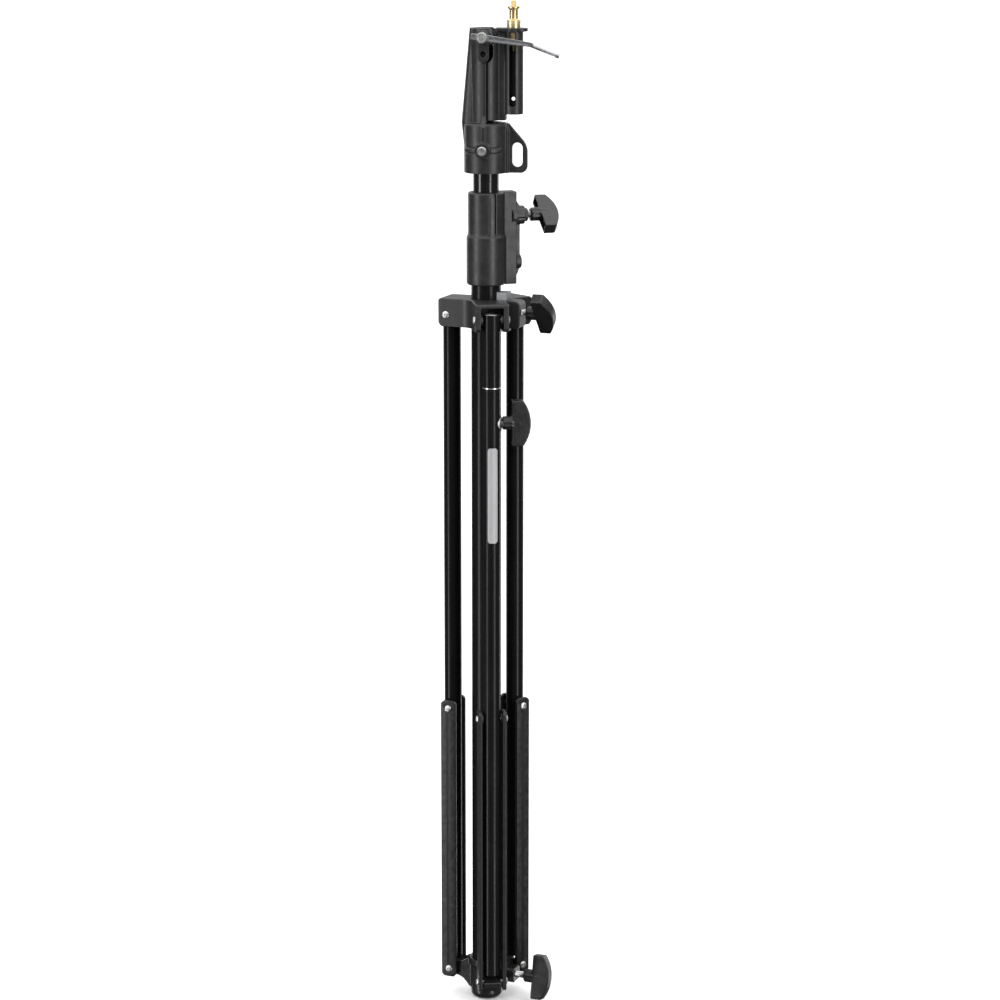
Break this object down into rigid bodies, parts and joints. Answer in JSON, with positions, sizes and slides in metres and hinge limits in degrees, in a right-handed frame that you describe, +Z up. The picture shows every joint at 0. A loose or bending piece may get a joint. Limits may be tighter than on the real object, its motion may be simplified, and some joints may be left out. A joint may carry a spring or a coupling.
{
  "type": "lighting stand",
  "caption": "Folded black tripod lighting stand: braced legs on a sliding collar, telescoping mast and a head with a tilting lamp socket, locking lever and brass spigot.",
  "frame": {"origin": "centre of the base hub's flat underside, on the column axis", "axes": "+Z up along the column, +X towards the lamp socket and the counterweight eye, -Y towards the front, where the levelling leg and the locking lever are"},
  "size_m": [0.1462, 0.1138, 1.214],
  "materials": {
    "black_tube": "gloss black anodised aluminium tube",
    "black_casting": "matt textured black paint on die-cast aluminium",
    "gloss_casting": "satin to gloss black paint on die-cast aluminium",
    "brace_paint": "satin black paint on flat straps",
    "knob_plastic": "textured black nylon",
    "dark_plastic": "black nylon",
    "zinc_steel": "bright zinc plated steel",
    "chromed_steel": "chromed steel",
    "brass": "turned brass",
    "bare_aluminium": "machined bare aluminium",
    "brake_shoe": "bare cast aluminium",
    "label_foil": "blank satin silver foil",
    "rubber_foot": "black rubber"
  },
  "bodies": {
    "column": {"column_tube": "black_tube", "base_hub": "gloss_casting", "hub_brake_pad": "brake_shoe", "tube_clamp": "black_casting", "clamp_bush": "dark_plastic", "clamp_brake_shoe": "brake_shoe", "clamp_fixing_screw": "zinc_steel"},
    "mast": {"mast_tube": "black_tube", "mast_guide_ring": "dark_plastic", "head_casting": "black_casting", "head_cross_bolt": "zinc_steel", "head_cross_nut": "zinc_steel", "lever_nut": "zinc_steel"},
    "lever": {"head_lever": "chromed_steel", "lever_bolt": "chromed_steel"},
    "socket": {"socket_bracket": "black_casting", "lamp_spigot": "brass", "spigot_screw": "zinc_steel"},
    "clamp_knob_body": {"clamp_knob": "knob_plastic", "clamp_knob_stud": "zinc_steel"},
    "collar": {"leg_collar": "black_casting", "collar_brake_shoe": "brake_shoe", "leg_pivot_screws": "zinc_steel", "leg_pivot_washers": "dark_plastic"},
    "collar_knob_body": {"collar_knob": "knob_plastic", "collar_knob_stud": "zinc_steel"},
    "hub_knob_body": {"hub_knob": "knob_plastic", "hub_knob_stud": "zinc_steel"},
    "front_leg": {"front_leg_sleeve": "black_tube", "front_leg_inner_tube": "bare_aluminium", "front_leg_tube": "black_tube", "front_leg_ring": "bare_aluminium", "front_leg_foot": "rubber_foot", "front_leg_label": "label_foil", "front_brace_screw": "zinc_steel", "leg_knob_washer": "chromed_steel"},
    "leg_knob_body": {"leg_knob": "knob_plastic", "leg_knob_stud": "zinc_steel"},
    "left_leg": {"left_leg_tube": "black_tube", "left_leg_foot": "rubber_foot", "left_brace_screw": "zinc_steel"},
    "right_leg": {"right_leg_tube": "black_tube", "right_leg_foot": "rubber_foot", "right_brace_screw": "zinc_steel"},
    "front_brace_body": {"front_brace": "brace_paint", "front_hub_screw": "zinc_steel"},
    "left_brace_body": {"left_brace": "brace_paint", "left_hub_screw": "zinc_steel"},
    "right_brace_body": {"right_brace": "brace_paint", "right_hub_screw": "zinc_steel"}
  },
  "joints": [
    {"name": "collar_slide", "type": "slide", "parent": "column", "child": "collar", "axis": [0, 0, -1], "range_m": [0, 0.2353]},
    {"name": "mast_slide", "type": "slide", "parent": "column", "child": "mast", "axis": [0, 0, 1], "range_m": [0, 0.7]},
    {"name": "socket_tilt", "type": "hinge", "parent": "mast", "child": "socket", "pos_m": [0, 0, 1.172], "axis": [0, -1, 0], "range_deg": [0, 90]},
    {"name": "lever_turn", "type": "hinge", "parent": "mast", "child": "lever", "pos_m": [0, -0.028, 1.172], "axis": [0, -1, 0], "range_deg": [0, 170]},
    {"name": "clamp_knob_turn", "type": "hinge", "parent": "column", "child": "clamp_knob_body", "pos_m": [0.0487, 0.02333, 0.964], "axis": [0.9018, 0.4321, 0], "range_deg": [0, 360]},
    {"name": "collar_knob_turn", "type": "hinge", "parent": "collar", "child": "collar_knob_body", "pos_m": [0.05086, -0.01174, 0.852], "axis": [0.9744, -0.225, 0], "range_deg": [0, 360]},
    {"name": "hub_knob_turn", "type": "hinge", "parent": "column", "child": "hub_knob_body", "pos_m": [0.04921, -0.01136, 0.0323], "axis": [0.9744, -0.225, 0], "range_deg": [0, 360]},
    {"name": "leg_knob_turn", "type": "hinge", "parent": "front_leg", "child": "leg_knob_body", "pos_m": [0.02515, -0.0378, 0.725], "axis": [0.9563, 0.2924, 0], "range_deg": [0, 360]},
    {"name": "front_leg_hinge", "type": "hinge", "parent": "collar", "child": "front_leg", "pos_m": [0.01272, -0.0416, 0.8475], "axis": [-0.9563, -0.2924, 0], "range_deg": [0, 35.1]},
    {"name": "right_leg_hinge", "type": "hinge", "parent": "collar", "child": "right_leg", "pos_m": [0.02967, 0.03181, 0.8475], "axis": [0.7314, -0.682, 0], "range_deg": [0, 35.1]},
    {"name": "left_leg_hinge", "type": "hinge", "parent": "collar", "child": "left_leg", "pos_m": [-0.04238, 0.00979, 0.8475], "axis": [0.225, 0.9744, 0], "range_deg": [0, 35.1]},
    {"name": "front_brace_hinge", "type": "hinge", "parent": "front_leg", "child": "front_brace_body", "pos_m": [0.01272, -0.0416, 0.3655], "axis": [0.9563, 0.2924, 0], "range_deg": [0, 91.6]},
    {"name": "right_brace_hinge", "type": "hinge", "parent": "right_leg", "child": "right_brace_body", "pos_m": [0.02967, 0.03181, 0.3655], "axis": [-0.7314, 0.682, 0], "range_deg": [0, 91.6]},
    {"name": "left_brace_hinge", "type": "hinge", "parent": "left_leg", "child": "left_brace_body", "pos_m": [-0.04238, 0.00979, 0.3655], "axis": [-0.225, -0.9744, 0], "range_deg": [0, 91.6]}
  ],
  "couplings": [
    {"joint": "front_leg_hinge", "follows": "collar_slide", "rad_per_m": 2.5961},
    {"joint": "right_leg_hinge", "follows": "collar_slide", "rad_per_m": 2.5961},
    {"joint": "left_leg_hinge", "follows": "collar_slide", "rad_per_m": 2.5961},
    {"joint": "front_brace_hinge", "follows": "collar_slide", "rad_per_m": 6.778},
    {"joint": "right_brace_hinge", "follows": "collar_slide", "rad_per_m": 6.778},
    {"joint": "left_brace_hinge", "follows": "collar_slide", "rad_per_m": 6.778}
  ]
}
